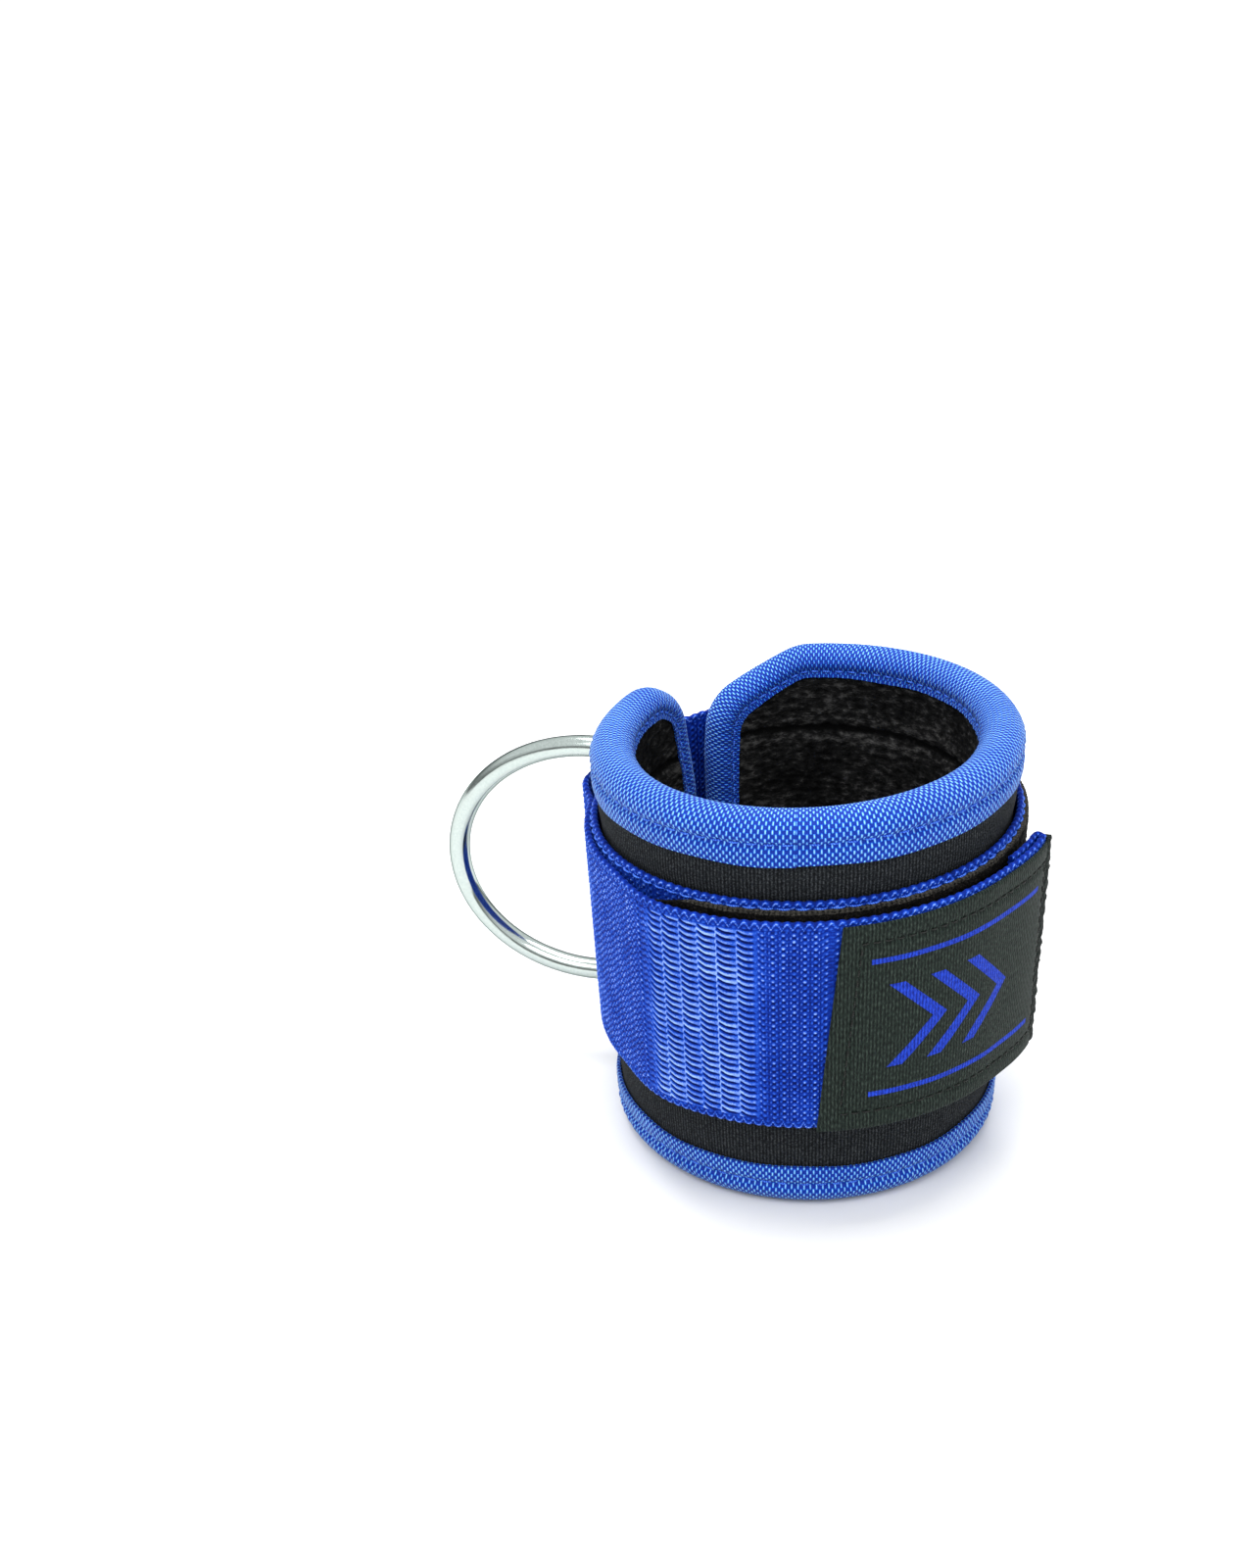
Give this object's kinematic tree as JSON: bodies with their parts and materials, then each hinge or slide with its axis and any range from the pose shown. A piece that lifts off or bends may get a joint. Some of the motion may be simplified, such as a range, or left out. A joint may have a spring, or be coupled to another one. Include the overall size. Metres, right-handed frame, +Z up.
{
  "type": "ankle strap",
  "caption": "Padded ankle cuff for cable exercises: bound foam pad wrapped by a webbing strap with a swinging D-ring, closed by hook and loop under a sewn label.",
  "frame": {"origin": "middle of the whole object's plan, on the surface that the cuff's lower edge stands on", "axes": "+Z up along the leg, +X towards the labelled end of the strap with the D-ring at -X, +Y away from the viewer, towards the gap between the pad's ends"},
  "size_m": [0.1382, 0.1051, 0.0975],
  "materials": {
    "binding": "woven polyester tape, blue, slight sheen",
    "webbing": "coarse ribbed polyester webbing, violet blue",
    "foam": "closed-cell foam sheet, hidden",
    "jersey": "fine ribbed black jersey",
    "plush": "black short-pile plush",
    "closure_tape": "black hook and loop tape",
    "label": "dark green-black woven label",
    "thread": "blue sewing thread",
    "label_thread": "black sewing thread",
    "steel": "bright nickel-plated steel wire"
  },
  "bodies": {
    "front_half": {"foam_core_front": "foam", "outer_jersey_front": "jersey", "plush_lining_front": "plush", "edge_binding_front": "binding", "sewn_webbing_front": "webbing", "loop_tape_front": "closure_tape", "upper_stitch_row_front": "thread", "lower_stitch_row_front": "thread"},
    "back_half": {"foam_core_back": "foam", "outer_jersey_back": "jersey", "plush_lining_back": "plush", "edge_binding_back": "binding", "sewn_webbing_back": "webbing", "loop_tape_back": "closure_tape", "upper_stitch_row_back": "thread", "lower_stitch_row_back": "thread", "strap_root_stitching": "thread"},
    "strap_root": {"strap_root": "webbing"},
    "strap_middle": {"strap_middle": "webbing"},
    "strap_tip": {"strap_tip": "webbing", "strap_end_hem": "webbing", "hook_tape": "closure_tape", "label_patch": "label", "label_stitching": "label_thread"},
    "d_ring": {"d_ring": "steel"}
  },
  "joints": [
    {"name": "cuff_open", "type": "hinge", "parent": "front_half", "child": "back_half", "pos_m": [0.03945, -0.04086, 0.05055], "axis": [-0.0185, 0.0347, -0.9992], "range_deg": [0, 32]},
    {"name": "strap_root_swing", "type": "hinge", "parent": "back_half", "child": "strap_root", "pos_m": [-0.01042, 0.04284, 0.04936], "axis": [0.0223, -0.0336, -0.9992], "range_deg": [0, 44.9]},
    {"name": "strap_middle_peel", "type": "hinge", "parent": "strap_root", "child": "strap_middle", "pos_m": [-0.02885, -0.01409, 0.04892], "axis": [0.0382, 0.0139, -0.9992], "range_deg": [0, 89.7]},
    {"name": "strap_tip_peel", "type": "hinge", "parent": "strap_middle", "child": "strap_tip", "pos_m": [0.01737, -0.05039, 0.05002], "axis": [-0.0007, 0.0397, -0.9992], "range_deg": [0, 60]},
    {"name": "d_ring_swing", "type": "hinge", "parent": "strap_root", "child": "d_ring", "pos_m": [-0.02863, 0.02246, 0.04893], "axis": [-0.0371, 0.0165, 0.9992], "range_deg": [-55, 55]}
  ],
  "couplings": [
    {"joint": "strap_root_swing", "follows": "cuff_open", "ratio": 1.4},
    {"joint": "strap_middle_peel", "follows": "cuff_open", "ratio": 2.8}
  ]
}
